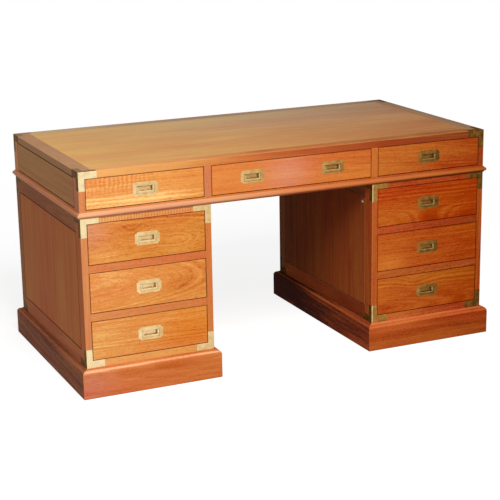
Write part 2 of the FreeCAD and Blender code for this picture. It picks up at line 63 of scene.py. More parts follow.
MM = 0.001  # in metres, as every length here


# ---- Writing top ------------------------------------------------------------------
# An edge-jointed field of teak, flush inside a border of two end rails that run through and
# two long rails between them. All of it is planed level, stained and given a satin lacquer.

body_of_node = {node: body
                for body, nodes in frame["record"]["behaviour"]["bodies"].items()
                for node in nodes}
SAME_POINT_DECIMALS = 6
SAME_PLACE_DECIMALS = 3
NEARLY_ALONG = 0.9
SLIGHT_TURN = 1e-4


def solids_of(node):
    """The closed solids of a CAD node, each an array of triangles.

    Triangles belong together when they share an edge. Where boards touch along an edge, the
    two triangles on either side of the same wood are the ones that go together.
    """
    mesh = frame["nodes"][node].data
    mesh.calc_loop_triangles()
    places = np.array([vertex.co for vertex in mesh.vertices])
    points, corner_of = np.unique(places.round(SAME_POINT_DECIMALS), axis=0, return_inverse=True)
    corner_of = corner_of.reshape(-1)
    triangles = corner_of[np.array([triangle.vertices for triangle in mesh.loop_triangles])]
    leader = list(range(len(triangles)))

    def first_of(number):
        while leader[number] != number:
            leader[number] = leader[leader[number]]
            number = leader[number]
        return number

    beside = {}
    for number, triangle in enumerate(triangles):
        for turn in range(3):
            a, b, c = (int(corner) for corner in np.roll(triangle, -turn))
            beside.setdefault((min(a, b), max(a, b)), []).append((number, c))
    for (a, b), near in beside.items():
        if len(near) == 2:
            leader[first_of(near[0][0])] = first_of(near[1][0])
            continue
        edge = points[b] - points[a]
        edge = edge / np.linalg.norm(edge)
        u = np.cross(edge, (1, 0, 0) if abs(edge[0]) < NEARLY_ALONG else (0, 1, 0))
        u = u / np.linalg.norm(u)
        v = np.cross(edge, u)
        opening, closing = [], []
        for number, c in near:
            out = points[c] - points[a]
            angle = math.atan2(out @ v, out @ u)
            p, q, r = (points[corner] for corner in triangles[number])
            turning = np.cross(edge, u * math.cos(angle) + v * math.sin(angle))
            faces_back = np.cross(q - p, r - p) @ turning < 0
            (opening if faces_back else closing).append((angle, number))
        for angle, number in opening:
            gaps = [((other - angle - SLIGHT_TURN) % math.tau, partner) for other, partner in closing]
            leader[first_of(number)] = first_of(min(gaps)[1])
    groups = {}
    for number in range(len(triangles)):
        groups.setdefault(first_of(number), []).append(number)
    solids = [points[triangles[members]] for members in groups.values()]

    def place_of(solid):
        return tuple((solid.min((0, 1)) + solid.max((0, 1))).round(SAME_PLACE_DECIMALS))
    return sorted(solids, key=place_of)


FLAT_ANGLE = math.radians(0.5)
ARRIS_ANGLE = math.radians(30)


def whole_form(solid, arris, step=None, shortest=0.0):
    """One solid as a bmesh: welded, its flat faces made whole and its arrises rounded.

    The middle of each rounded arris is marked in worn_and_highlighted, to be paled as bare wood
    and as a painted highlight. Edges shorter than shortest, as round a small pin, are left sharp.
    With a step, the two longest ways are cut into a grid of that size, so that values can change
    from place to place on the board.
    """
    form = bmesh.new()
    corner = {}
    for triangle in solid:
        spot = []
        for point in triangle:
            key = tuple(point)
            if key not in corner:
                corner[key] = form.verts.new(point)
            spot.append(corner[key])
        form.faces.new(spot)
    worn_and_highlighted = form.verts.layers.float.new("worn_and_highlighted")
    bmesh.ops.dissolve_limit(form, angle_limit=FLAT_ANGLE, verts=form.verts, edges=form.edges)
    sharp = [edge for edge in form.edges
             if len(edge.link_faces) == 2 and edge.calc_face_angle() > ARRIS_ANGLE
             and edge.calc_length() > shortest]
    rounded = bmesh.ops.bevel(form, geom=sharp, offset=arris, segments=2, profile=0.5,
                              affect="EDGES", clamp_overlap=True)
    strips = set(rounded["faces"])
    for vertex in form.verts:
        vertex[worn_and_highlighted] = float(all(face in strips for face in vertex.link_faces))
    if step:
        low, high = solid.min((0, 1)), solid.max((0, 1))
        for axis in np.argsort(high - low)[1:]:
            square_to_it = Vector([float(way == axis) for way in range(3)])
            for place in np.arange(low[axis] + step, high[axis] - step / 2, step):
                everything = form.verts[:] + form.edges[:] + form.faces[:]
                bmesh.ops.bisect_plane(form, geom=everything, plane_co=square_to_it * place,
                                       plane_no=square_to_it)
    return form


def gathered(forms, name, values):
    """One mesh of several forms, with named values at every vertex: numbers or vectors."""
    mesh = bpy.data.meshes.new(name)
    everything = bmesh.new()
    for form in forms:
        part = bpy.data.meshes.new("part")
        form.to_mesh(part)
        everything.from_mesh(part)
        bpy.data.meshes.remove(part)
        form.free()
    for face in everything.faces:
        face.smooth = True
    everything.to_mesh(mesh)
    everything.free()
    for title, data in values.items():
        flat = np.concatenate([np.asarray(rows, float) for rows in data])
        vector = flat.ndim == 2
        if title in mesh.attributes:
            mesh.attributes.remove(mesh.attributes[title])
        attribute = mesh.attributes.new(title, "FLOAT_VECTOR" if vector else "FLOAT", "POINT")
        attribute.data.foreach_set("vector" if vector else "value", flat.ravel())
    return mesh


def shown_as(mesh, node, material):
    """Puts a finished mesh in the place of the CAD node that it was made from."""
    piece = bpy.data.objects.new("finished_" + node, mesh)
    bpy.context.scene.collection.objects.link(piece)
    piece.data.materials.append(material)
    piece.modifiers.new("even_shading", "WEIGHTED_NORMAL")
    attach(piece, body_of_node[node])
    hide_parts(node)
    return piece


SKIN = 0.05 * MM
GAP_REACH = 2.2 * MM
GAP_DEPTH = 3 * MM
FRONT_BOXES = [np.array(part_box(node)) for node in frame["nodes"] if node.endswith("_drawer_front")]


def in_gap(points):
    """1 for points just behind the front plane in the gap round a drawer, where dirt gathers and shade is
    painted.
    """
    grimy_and_shaded = np.zeros(len(points), bool)
    for low, high in FRONT_BOXES:
        outside = np.maximum(low - points, points - high)[:, (0, 2)].max(1)
        behind = points[:, 1] - low[1]
        grimy_and_shaded |= (np.abs(outside) < GAP_REACH) & (behind > SKIN) & (behind < GAP_DEPTH)
    return grimy_and_shaded.astype(float)


OUTER_SIDE_FROM = 0.4
FACE_WITHIN = 0.1 * MM
GROOVE_REACH = 10 * MM


def outer_panels():
    """Boxes round the faces of the flush panels on the desk's outside, each with its thin way.

    Side panels nearer to the middle than OUTER_SIDE_FROM line the kneehole and are left out.
    """
    panels = []
    for node in ("top_box_side_panels", "top_box_back_panels", "pedestal_side_panels",
                 "pedestal_back_panels"):
        for solid in solids_of(node):
            corners = solid.reshape(-1, 3)
            thin = int(np.ptp(corners, axis=0).argmin())
            face = corners[corners[:, thin] > corners[:, thin].max() - FACE_WITHIN]
            low, high = face.min(0), face.max(0)
            low[thin] = corners[:, thin].min()
            if thin or abs(low[0]) > OUTER_SIDE_FROM:
                panels.append((low, high, thin))
    return panels


PANELS = outer_panels()


def in_groove(points):
    """1 for points in the groove round an outer flush panel, where dirt gathers and shade is painted."""
    dark = np.zeros(len(points), bool)
    for low, high, thin in PANELS:
        flat = [way for way in range(3) if way != thin]
        outside = np.maximum(low - points, points - high)
        near = np.abs(outside[:, flat].max(1)) < GROOVE_REACH
        dark |= near & (outside[:, thin] < -SKIN)
    return dark.astype(float)


BOARD_ARRIS = 0.45 * MM
SPOTS = ("swells", "pale", "ripples", "flush", "faded_and_sheen")
GRID = 14 * MM
PITH_DEPTHS = (0.03, 0.12)
LEAN_ACROSS = 0.02
LEAN_DEEP = 0.05
TONE_SPREAD = 0.05
TREE_REACH = 5
# Dirt and painted shade in the drawer gaps: the least, which holds up to where it starts to grow towards the
# right, and then how much the outer panel grooves take.
LEAST_GAP_SHADE = 0.6
GAP_SHADE_GROWS_FROM = 0.2
GROOVE_GRIME_AND_SHADE = 0.7


def boarded(node, material, along=None, arris=BOARD_ARRIS, boards=None):
    """Finishes every board of a node. Each was sawn from its own place in a tree.

    along gives the grain's axis where it isn't the longest. boards gives what is known of a
    board, by its number from left to right, front to back and foot to head: its tone, its pith
    (how far its middle was from the tree's, across and deep), its lean (how fast both change
    along it, which draws rings out into long arches), and spots, each with its place along and
    across, its half length and half width, and its strength. Swells push the rings deeper, and
    where the other spots are the wood is paler, rippled, flushed, or greyer (faded_and_sheen:
    bleached by sun, and on the top a painted sheen). Some tones and pale spots are painted shade
    and highlight, as said where they are given. broad_shade is a painted shade, a tone for its two
    widest faces alone. What isn't given is drawn at random.
    """
    forms = []
    values = {"grain": [], "tone": [], "ripple": [], "flush": [], "faded_and_sheen": [], "grime_and_shade": [], "worn_and_highlighted": []}
    for number, solid in enumerate(solids_of(node)):
        draw = random.Random(f"{node} {number}")
        own = (boards or {}).get(number, {})
        form = whole_form(solid, arris, GRID if any(kind in own for kind in SPOTS) else None)
        points = np.array([vertex.co for vertex in form.verts])
        low, high = points.min(0), points.max(0)
        size = high - low
        axis = int(size.argmax()) if along is None else along
        others = sorted((way for way in range(3) if way != axis), key=lambda way: -size[way])
        local = points - (low + high) / 2
        length, across, deep = local[:, axis], local[:, others[0]], local[:, others[1]]

        def spots(kind):
            total = np.zeros(len(points))
            for at, up, long, wide, strength in own.get(kind, ()):
                total += strength * np.exp(-((length - at) / long) ** 2 - ((across - up) / wide) ** 2)
            return total

        drawn_pith = (draw.uniform(-0.5, 0.5) * size[others[0]],
                      draw.choice((-1, 1)) * draw.uniform(*PITH_DEPTHS))
        drawn_lean = (draw.uniform(-LEAN_ACROSS, LEAN_ACROSS), draw.uniform(-LEAN_DEEP, LEAN_DEEP))
        drawn_tone = draw.uniform(-TONE_SPREAD, TONE_SPREAD)
        shift = draw.uniform(-TREE_REACH, TREE_REACH)
        pith = own.get("pith", drawn_pith)
        lean = own.get("lean", drawn_lean)
        values["grain"].append(np.stack([length + shift,
                                         across + pith[0] + lean[0] * length,
                                         deep + pith[1] + lean[1] * length + spots("swells")], 1))
        on_broad = np.abs(deep) > size[others[1]] / 2 - SKIN
        values["tone"].append(own.get("tone", drawn_tone) + spots("pale") + own.get("broad_shade", 0.0) * on_broad)
        values["ripple"].append(spots("ripples"))
        values["flush"].append(spots("flush"))
        values["faded_and_sheen"].append(spots("faded_and_sheen"))
        # Dirt and painted shade in the drawer gaps, more of it towards the right, and in the outer panel
        # grooves; the arrises there are not paled.
        grown = LEAST_GAP_SHADE + (points[:, 0] - GAP_SHADE_GROWS_FROM)
        grime_and_shade = in_gap(points) * np.clip(grown, LEAST_GAP_SHADE, 1.0)
        grime_and_shade = np.maximum(grime_and_shade, GROOVE_GRIME_AND_SHADE * in_groove(points))
        values["grime_and_shade"].append(grime_and_shade)
        layer = form.verts.layers.float["worn_and_highlighted"]
        values["worn_and_highlighted"].append(np.array([vertex[layer] for vertex in form.verts]) * (grime_and_shade == 0))
        forms.append(form)
    return shown_as(gathered(forms, node, values), node, material)


def linear(colour):
    """A display colour, 0 to 255 a channel, as a shader's linear colour by the sRGB standard."""
    channels = [value / 255 for value in colour]
    return [value / 12.92 if value < 0.04045 else ((value + 0.055) / 1.055) ** 2.4
            for value in channels] + [1.0]


def bench(tree):
    """Two short ways of building a node tree: any node, and a Math node.

    A socket goes by its name, or by its number where several have the same name.
    """
    def add(kind, inputs=None, out=0, **settings):
        node = tree.nodes.new(kind)
        for key, value in settings.items():
            setattr(node, key, value)
        for socket, value in (inputs or {}).items():
            if isinstance(value, bpy.types.NodeSocket):
                tree.links.new(value, node.inputs[socket])
            else:
                node.inputs[socket].default_value = value
        return node.outputs[out]

    def maths(operation, a, b=0.0, c=0.0):
        return add("ShaderNodeMath", {0: a, 1: b, 2: c}, operation=operation)
    return add, maths


def graded(tree, value, colours):
    """The colour that a value from 0 to 1 meets on a ramp of evenly spread colours."""
    ramp = tree.nodes.new("ShaderNodeValToRGB")
    tree.links.new(value, ramp.inputs["Fac"])
    stops = ramp.color_ramp.elements
    for _ in colours[2:]:
        stops.new(0.5)
    for number, colour in enumerate(colours):
        stops[number].position = number / (len(colours) - 1)
        stops[number].color = linear(colour)
    return ramp.outputs["Color"]


# How often each pattern changes in a metre along, across and into a board, and how rough it is.
FIBRE = (14, 165, 165)
FLECK = (90, 330, 330)
STREAK = (2.5, 70, 70)
PORE = (60, 1000, 1000)
PATCH = (1.6, 7, 7)
WANDER = (2.4, 16, 16)
SWAY = (20, 30, 30)
SMOOTH = 0.55
ROUGH = 0.6
SPLINTERY = 0.7
NOISE_MEAN = 0.5

# Where a board's colour and hue start from, how fast it has faded, what its arrises wear down to
# with a painted highlight, and the dark of dirt and painted shade in gaps and grooves.
MIDDLE_COLOUR = 0.5
SAME_HUE = 0.5
SUN_FADE = 0.34
WORN_AND_HIGHLIGHT_COLOUR = (240, 190, 132)
GRIME_AND_SHADE_COLOUR = (112, 28, 0)

# How much the patterns add to the tone, the hue, the saturation, the roughness and the height.
FLECK_LIMIT = 0.02
PORE_EDGES = (0.10, 0.22)
PORE_TONE = -0.07
SWAY_TURN = 8.0
RIPPLE_TONE = 0.05
PATCH_HUE = 0.04
FLUSH_HUE = -0.015
FADE_AND_SHEEN_SATURATION = -0.3
FIBRE_ROUGHNESS = 0.16
GRIME_ROUGHNESS = 0.5
PORE_ROUGHNESS = 0.2
FIBRE_HEIGHT = 0.4
PORE_DEPTH = 0.25 * MM
GRAIN_BUMP = 0.12


def wood(name, colours, ring=7 * MM, figure=0.16, fibre=0.12, streak=0.10, patch=0.14,
         fleck=0.0, wander=9 * MM, ripple_every=10 * MM, matt=0.36, sheen=0.03, fade=SUN_FADE,
         wear_and_highlight=0.5):
    """Lacquered teak. Rings, fibres and pores follow the board's grain attribute.

    colours run from the darkest to the lightest wood: the second is met at the right end of
    the desk, the middle one at its middle, the fourth at its left end, which has stood to the
    sun. fade is how fast the wood changes between them, for each metre. ring is the width of
    a year's growth, wander how far the rings stray, and figure, fibre, streak, patch and fleck
    are how strong these patterns are. matt is how rough the lacquer is, sheen how much it
    mirrors, and wear_and_highlight how far the arrises are paled, as bare wood and as a painted
    highlight. Gaps and grooves are darkened, as dirt and as painted shade.
    """
    material = bpy.data.materials.new(name)
    material.use_nodes = True
    tree = material.node_tree
    shader = tree.nodes["Principled BSDF"]
    add, maths = bench(tree)
    grain = add("ShaderNodeAttribute", attribute_name="grain", out="Vector")
    tone, ripple, flush, faded_and_sheen, grime_and_shade, worn_and_highlighted = (
        add("ShaderNodeAttribute", attribute_name=title, out="Fac")
        for title in ("tone", "ripple", "flush", "faded_and_sheen", "grime_and_shade", "worn_and_highlighted"))
    east = add("ShaderNodeSeparateXYZ", {"Vector": add("ShaderNodeTexCoord", out="Object")}, out="X")
    length = add("ShaderNodeSeparateXYZ", {"Vector": grain}, out="X")

    def cloud(stretch, detail=2.0, rough=SMOOTH):
        scaled = add("ShaderNodeVectorMath", {0: grain, 1: stretch}, operation="MULTIPLY")
        noise = add("ShaderNodeTexNoise", {"Vector": scaled, "Scale": 1.0, "Detail": detail,
                                           "Roughness": rough})
        return maths("SUBTRACT", noise, NOISE_MEAN)

    def blend(amount, first, second):
        return add("ShaderNodeMix", {0: amount, 6: first, 7: second}, out=2, data_type="RGBA")

    bend = maths("MULTIPLY", cloud(WANDER), wander)
    flat = add("ShaderNodeVectorMath", {0: grain, 1: (0, 1, 1)}, operation="MULTIPLY")
    from_pith = add("ShaderNodeVectorMath", {0: flat}, operation="LENGTH", out="Value")
    year = maths("DIVIDE", maths("ADD", from_pith, bend), ring)
    rings = add("ShaderNodeTexNoise", {"W": year, "Scale": 1.0, "Detail": 2.0, "Roughness": ROUGH},
                noise_dimensions="1D")
    rings = maths("SUBTRACT", rings, NOISE_MEAN)
    fibres = cloud(FIBRE, detail=4.0, rough=SPLINTERY)
    flecks = maths("MINIMUM", cloud(FLECK, detail=1.0), FLECK_LIMIT)
    pores = add("ShaderNodeMapRange", {"Value": cloud(PORE, detail=1.0), "From Min": PORE_EDGES[0],
                                       "From Max": PORE_EDGES[1]})
    sway = maths("MULTIPLY", cloud(SWAY), SWAY_TURN)
    wave = maths("SINE", maths("MULTIPLY_ADD", length, math.tau / ripple_every, sway))
    waves = maths("MULTIPLY", wave, maths("MULTIPLY", ripple, RIPPLE_TONE))

    value = maths("ADD", maths("MULTIPLY_ADD", east, -fade, MIDDLE_COLOUR), tone)
    for pattern, amount in ((rings, figure), (fibres, fibre), (cloud(STREAK), streak),
                            (cloud(PATCH), patch), (flecks, fleck), (pores, PORE_TONE),
                            (waves, 1.0)):
        value = maths("MULTIPLY_ADD", pattern, amount, value)
    flushed = maths("MULTIPLY_ADD", flush, FLUSH_HUE, SAME_HUE)
    hue = maths("MULTIPLY_ADD", cloud(PATCH, detail=3.0), PATCH_HUE, flushed)
    saturation = maths("MULTIPLY_ADD", faded_and_sheen, FADE_AND_SHEEN_SATURATION, 1.0)
    tinted = add("ShaderNodeHueSaturation", {"Hue": hue, "Saturation": saturation,
                                             "Color": graded(tree, value, colours)})
    # Arrises are paled, as bare wood and as a painted highlight, and gaps and grooves are darkened, as dirt
    # and as painted shade.
    rubbed = blend(maths("MULTIPLY", worn_and_highlighted, wear_and_highlight), tinted, linear(WORN_AND_HIGHLIGHT_COLOUR))
    grimy_and_shaded = blend(grime_and_shade, rubbed, linear(GRIME_AND_SHADE_COLOUR))
    tree.links.new(grimy_and_shaded, shader.inputs["Base Color"])
    dull = maths("MULTIPLY_ADD", grime_and_shade, GRIME_ROUGHNESS, matt)
    rough = maths("MULTIPLY_ADD", fibres, FIBRE_ROUGHNESS, dull)
    tree.links.new(maths("MULTIPLY_ADD", pores, PORE_ROUGHNESS, rough), shader.inputs["Roughness"])
    height = maths("SUBTRACT", maths("MULTIPLY", fibres, FIBRE_HEIGHT), pores)
    bump = add("ShaderNodeBump", {"Strength": GRAIN_BUMP, "Distance": PORE_DEPTH, "Height": height})
    tree.links.new(bump, shader.inputs["Normal"])
    shader.inputs["Specular IOR Level"].default_value = sheen
    return material


ENDLESS = 9.0  # half a length or width that runs off any board
ALL_OVER = (0.0, 0.0, ENDLESS, ENDLESS)
TOP_SHEEN = 0.005
TOP_COLOURS = ((120, 66, 24), (172, 110, 48), (203, 141, 80), (224, 170, 98), (240, 200, 130))
field_wood = wood("top_field_teak", TOP_COLOURS, figure=0.14, patch=0.24, streak=0.2, fibre=0.3, ring=6 * MM,
                  sheen=TOP_SHEEN)
# Towards the back and the right end the field is greyer, yellower and paler, partly a painted sheen where
# the lacquer mirrors at a low angle.
boarded("top_panel", field_wood, boards={0: {
    "pith": (0.05, 0.35), "lean": (0.01, 0.02), "tone": 0.0, "faded_and_sheen": [(0.35, 0.30, 0.7, 0.3, 0.75)],
    "flush": [(0.3, 0.32, 0.7, 0.18, -1.1)], "pale": [(0.62, 0.0, 0.2, 0.25, 0.06)]}})

BORDER_COLOURS = ((90, 34, 6), (152, 80, 8), (196, 124, 56), (234, 172, 100), (244, 200, 140))
border_wood = wood("top_border_teak", BORDER_COLOURS, sheen=TOP_SHEEN)
AT_LEFT, IN_FRONT, AT_BACK, AT_RIGHT = range(4)
FRONT_EDGE = -np.ptp(solids_of("top_frame_rails")[IN_FRONT][:, :, 1]) / 2
HAIR = 0.4 * MM
# The end rails and the back rail are greyer and yellower, and the back rail paler towards the right, partly
# a painted sheen where the lacquer mirrors at a low angle.
boarded("top_frame_rails", border_wood, boards={
    AT_LEFT: {"tone": -0.3, "faded_and_sheen": [(*ALL_OVER, 0.6)], "flush": [(*ALL_OVER, -0.8)]},
    IN_FRONT: {"tone": 0.0,
               "pale": [(-0.10, 0.005, 0.05, 0.012, -0.16), (0.0, FRONT_EDGE, 0.25, HAIR, -0.07),
                        (0.55, FRONT_EDGE, 0.45, HAIR, -0.13), (0.5, 0.006, 0.35, 0.02, -0.065)],
               "flush": [(0.0, FRONT_EDGE, 0.25, HAIR, 0.8), (0.55, FRONT_EDGE, 0.45, HAIR, 1.3)],
               "faded_and_sheen": [(0.55, FRONT_EDGE, 0.45, HAIR, 0.13)]},
    AT_BACK: {"tone": -0.2, "pale": [(0.65, 0.0, 0.55, ENDLESS, 0.2)], "faded_and_sheen": [(*ALL_OVER, 1.0)],
              "flush": [(*ALL_OVER, -1.2)]},
    AT_RIGHT: {"tone": -0.05, "faded_and_sheen": [(*ALL_OVER, 0.7)], "flush": [(*ALL_OVER, -1.3)]},
})


# ---- Top box -------------------------------------------------------------------------
# Stiles, rails and muntins round flush panels whose tongues sit in grooves, two upright
# dividers between the drawers, and a base frame with thin dust panels behind it.

CARCASS_COLOURS = ((92, 30, 8), (158, 64, 20), (198, 108, 48), (216, 138, 78), (236, 172, 112))
carcass_wood = wood("carcass_teak", CARCASS_COLOURS, fibre=0.25, fleck=0.5)
frame_wood = wood("side_frame_teak", CARCASS_COLOURS, fibre=0.2, fleck=0.3, sheen=0.004)
panel_wood = wood("panel_teak", CARCASS_COLOURS, ring=9 * MM, figure=0.18, streak=0.2, fleck=0.15,
                  sheen=0.004)
UPRIGHT = 2
BOX_FRONT_STILE, BOX_BOTTOM_RAIL, BOX_BACK_STILE = range(3)
LEFT, RIGHT = range(2)
# broad_shade is painted shade on the frames' side faces, which lie in shade.
boarded("top_box_side_frames", carcass_wood, boards={
    BOX_FRONT_STILE: {"tone": -0.07, "broad_shade": -0.1, "faded_and_sheen": [(*ALL_OVER, 0.1)]},
    BOX_BOTTOM_RAIL: {"tone": 0.0, "broad_shade": -0.16},
    BOX_BACK_STILE: {"tone": 0.0, "broad_shade": -0.16}})
boarded("top_box_dividers", carcass_wood, along=UPRIGHT, boards={
    LEFT: {"tone": -0.04, "flush": [(*ALL_OVER, 0.2)], "faded_and_sheen": [(*ALL_OVER, 0.2)]},
    RIGHT: {"tone": 0.06}})
for node in ("top_box_back_frame", "top_box_base_frame"):
    boarded(node, carcass_wood)
# The left panel's darker tone is partly painted shade on the desk's left side.
boarded("top_box_side_panels", panel_wood, boards={
    LEFT: {"tone": -0.26, "flush": [(*ALL_OVER, -1.4)], "faded_and_sheen": [(*ALL_OVER, 0.45)]}})
boarded("top_box_back_panels", panel_wood)

BARE_COLOURS = ((120, 84, 48), (160, 118, 72), (188, 148, 98), (206, 170, 120), (220, 190, 144))
bare_wood = wood("bare_hardwood", BARE_COLOURS, matt=0.6, sheen=0.12, fade=0.0)
boarded("top_box_dust_panels", bare_wood)


# ---- Waist moulding --------------------------------------------------------------------
# Four strips mitred at the corners, planed to a hollow, a round nose and a small lip, and
# fixed round the foot of the top box.

MOULDING_COLOURS = ((90, 30, 6), (160, 72, 20), (202, 122, 64), (224, 156, 104), (242, 190, 142))
moulding_wood = wood("moulding_teak", MOULDING_COLOURS)
MOULDING_ARRIS = 0.3 * MM
# UNDERSIDE_SHADE is painted shade under the moulding's nose. The left strip's darker tone is partly painted
# shade on the desk's left side.
UNDERSIDE_SHADE = (0.0, -0.011, ENDLESS, 0.006, -0.35)
boarded("waist_moulding", moulding_wood, arris=MOULDING_ARRIS, boards={
    AT_LEFT: {"tone": -0.18},
    IN_FRONT: {"tone": 0.02, "pale": [UNDERSIDE_SHADE], "faded_and_sheen": [(-0.5, 0.0, 0.5, ENDLESS, 0.35)]},
    AT_BACK: {"pale": [UNDERSIDE_SHADE]}})


# ---- Pedestals ---------------------------------------------------------------------------
# Each is a pair of panelled side frames joined by front rails, a panelled back and two
# boards. Runners and guide strips inside carry the drawers. The side panels' grain is upright.

OLIVE = {"flush": [(*ALL_OVER, -0.9)], "faded_and_sheen": [(*ALL_OVER, 0.38)]}
FRONT_STILE, FOOT_RAIL, HEAD_RAIL, BACK_STILE, SECOND_FRONT_STILE = range(5)
# The outer left frame's darker tones are partly painted shade on the desk's left side, and the head rail's
# is a painted shadow under the waist moulding.
boarded("left_pedestal_side_frames", frame_wood, boards={
    FRONT_STILE: {"tone": -0.04, "broad_shade": -0.19, "flush": [(*ALL_OVER, 0.15)], "faded_and_sheen": [(*ALL_OVER, 0.1)]},
    FOOT_RAIL: {"tone": -0.31, "flush": [(*ALL_OVER, 0.1)], "faded_and_sheen": [(*ALL_OVER, 0.25)]},
    HEAD_RAIL: {"tone": -0.45, **OLIVE},
    BACK_STILE: {"tone": -0.45, **OLIVE},
    SECOND_FRONT_STILE: {"tone": 0.02}})
# The first four boards line the kneehole, and their darker tones are painted shade there.
boarded("right_pedestal_side_frames", frame_wood, boards={
    FRONT_STILE: {"tone": 0.0, "broad_shade": -0.04},
    FOOT_RAIL: {"tone": -0.22, "flush": [(*ALL_OVER, -0.3)], "faded_and_sheen": [(*ALL_OVER, 0.08)]},
    HEAD_RAIL: {"tone": -0.28, **OLIVE},
    BACK_STILE: {"tone": -0.28, **OLIVE},
    SECOND_FRONT_STILE: {"tone": 0.04}})
boarded("pedestal_back_frames", frame_wood)
RIPPLED = (*ALL_OVER, 1.9)
LEFT_FOOT, LEFT_LOWER, LEFT_UPPER, LEFT_HEAD, RIGHT_FOOT, RIGHT_LOWER, RIGHT_UPPER, RIGHT_HEAD = range(8)
boarded("pedestal_drawer_rails", carcass_wood, boards={
    LEFT_FOOT: {"tone": 0.22, "flush": [(*ALL_OVER, -0.1)], "faded_and_sheen": [(*ALL_OVER, -0.15)]},
    LEFT_LOWER: {"flush": [(*ALL_OVER, 0.3)]},
    LEFT_UPPER: {"tone": 0.0, "flush": [(*ALL_OVER, 0.5)]},
    LEFT_HEAD: {"tone": 0.12, "ripples": [RIPPLED]},
    RIGHT_FOOT: {"tone": 0.0, "flush": [(*ALL_OVER, 0.6)], "pale": [(-0.12, 0.0, 0.08, ENDLESS, 0.1)]},
    RIGHT_LOWER: {"tone": 0.0, "flush": [(*ALL_OVER, 0.4)]},
    RIGHT_UPPER: {"tone": -0.04, "flush": [(*ALL_OVER, 0.1)], "pale": [(-0.14, 0.0, 0.1, ENDLESS, 0.06)]},
    RIGHT_HEAD: {"tone": -0.02},
})
# Painted shade in the kneehole: darker all over, darker and yellower towards the back, a little lighter low
# at the front and darker high up.
TO_THE_BACK = (0.0, 0.4, ENDLESS, 0.5)
kneehole_shade = {"tone": -0.11, "flush": [(*ALL_OVER, -0.5), (*TO_THE_BACK, -0.6)],
               "pale": [(*TO_THE_BACK, -0.2), (-0.16, -0.3, 0.14, 0.2, 0.05), (0.2, -0.2, 0.12, 0.2, -0.08)],
               "faded_and_sheen": [(*ALL_OVER, 0.1)]}
OUTER_LEFT, KNEEHOLE_LEFT, KNEEHOLE_RIGHT = range(3)
# The outer left panel's darker tone is partly painted shade on the desk's left side.
boarded("pedestal_side_panels", panel_wood, along=UPRIGHT, boards={
    OUTER_LEFT: {"tone": -0.25, "flush": [(*ALL_OVER, -0.1)], "faded_and_sheen": [(*ALL_OVER, 0.12)]},
    KNEEHOLE_LEFT: kneehole_shade,
    KNEEHOLE_RIGHT: kneehole_shade})
boarded("pedestal_back_panels", panel_wood, along=UPRIGHT)
for node in ("pedestal_runners", "pedestal_boards", "locating_tenons"):
    boarded(node, bare_wood)


# ---- Plinths -------------------------------------------------------------------------------
# Four skirting boards round each pedestal, mitred at the corners, with a quirk and a rounded
# shoulder along the top, on which a highlight is painted. The pedestal's frames stand on a
# ledge inside them.

PLINTH_COLOURS = ((62, 22, 9), (160, 66, 20), (196, 100, 44), (214, 126, 70), (240, 176, 124))
plinth_wood = wood("plinth_teak", PLINTH_COLOURS, figure=0.3, fibre=0.22, streak=0.36, patch=0.4,
                   fleck=0.5, sheen=0.004, wear_and_highlight=1.0)
# Where painted light lies across a plinth: in the quirk, painted shade on the left plinth and painted light
# on the right one; a painted highlight on the shoulder, lower down on the right plinth's front.
QUIRK = (0.0, 0.0485, ENDLESS, 0.0025)
SHOULDER_HIGHLIGHT = (0.0, 0.0437, ENDLESS, 0.0033)
LOW_SHOULDER_HIGHLIGHT = (0.0, 0.0395, ENDLESS, 0.004)
boarded("left_plinth", plinth_wood, boards={
    # The left end's darker tone is partly painted shade on the desk's left side.
    AT_LEFT: {"tone": -0.52, "pale": [(*SHOULDER_HIGHLIGHT, 0.12)], **OLIVE},
    IN_FRONT: {"tone": 0.0, "pale": [(*SHOULDER_HIGHLIGHT, 0.33), (*QUIRK, -0.08), (0.0, 0.022, 0.14, 0.012, -0.12)],
               "flush": [(-0.22, 0.0, 0.07, 0.05, 0.3)],
               "faded_and_sheen": [(-0.22, 0.0, 0.07, 0.05, 0.3), (*SHOULDER_HIGHLIGHT, 0.15)]},
    AT_BACK: {"tone": 0.0, "pale": [(*SHOULDER_HIGHLIGHT, 0.2)]},
    AT_RIGHT: {"tone": -0.1, "pale": [(*SHOULDER_HIGHLIGHT, 0.2)]}})
boarded("right_plinth", plinth_wood, boards={
    # Along the kneehole the right plinth is darker, more so towards the back, a painted shade; its front has
    # a painted highlight near its left end.
    AT_LEFT: {"tone": -0.12, "pale": [(*SHOULDER_HIGHLIGHT, 0.1), (0.35, 0.0, 0.5, ENDLESS, -0.26)],
              "flush": [(*ALL_OVER, -0.3)], "faded_and_sheen": [(*ALL_OVER, 0.12)]},
    IN_FRONT: {"tone": 0.0, "pale": [(*LOW_SHOULDER_HIGHLIGHT, 0.3), (*QUIRK, 0.5), (-0.14, 0.03, 0.1, 0.012, 0.12)]},
    AT_BACK: {"tone": 0.0, "pale": [(*SHOULDER_HIGHLIGHT, 0.2)]},
    AT_RIGHT: {"tone": 0.0, "pale": [(*SHOULDER_HIGHLIGHT, 0.2)]}})


# ---- Drawers ---------------------------------------------------------------------------------
# Thick fronts faced with figured teak are lap-dovetailed to bare sides. Each front has its own
# figure: plain, rippled, or flamed where it was cut across the tree's leaning rings.

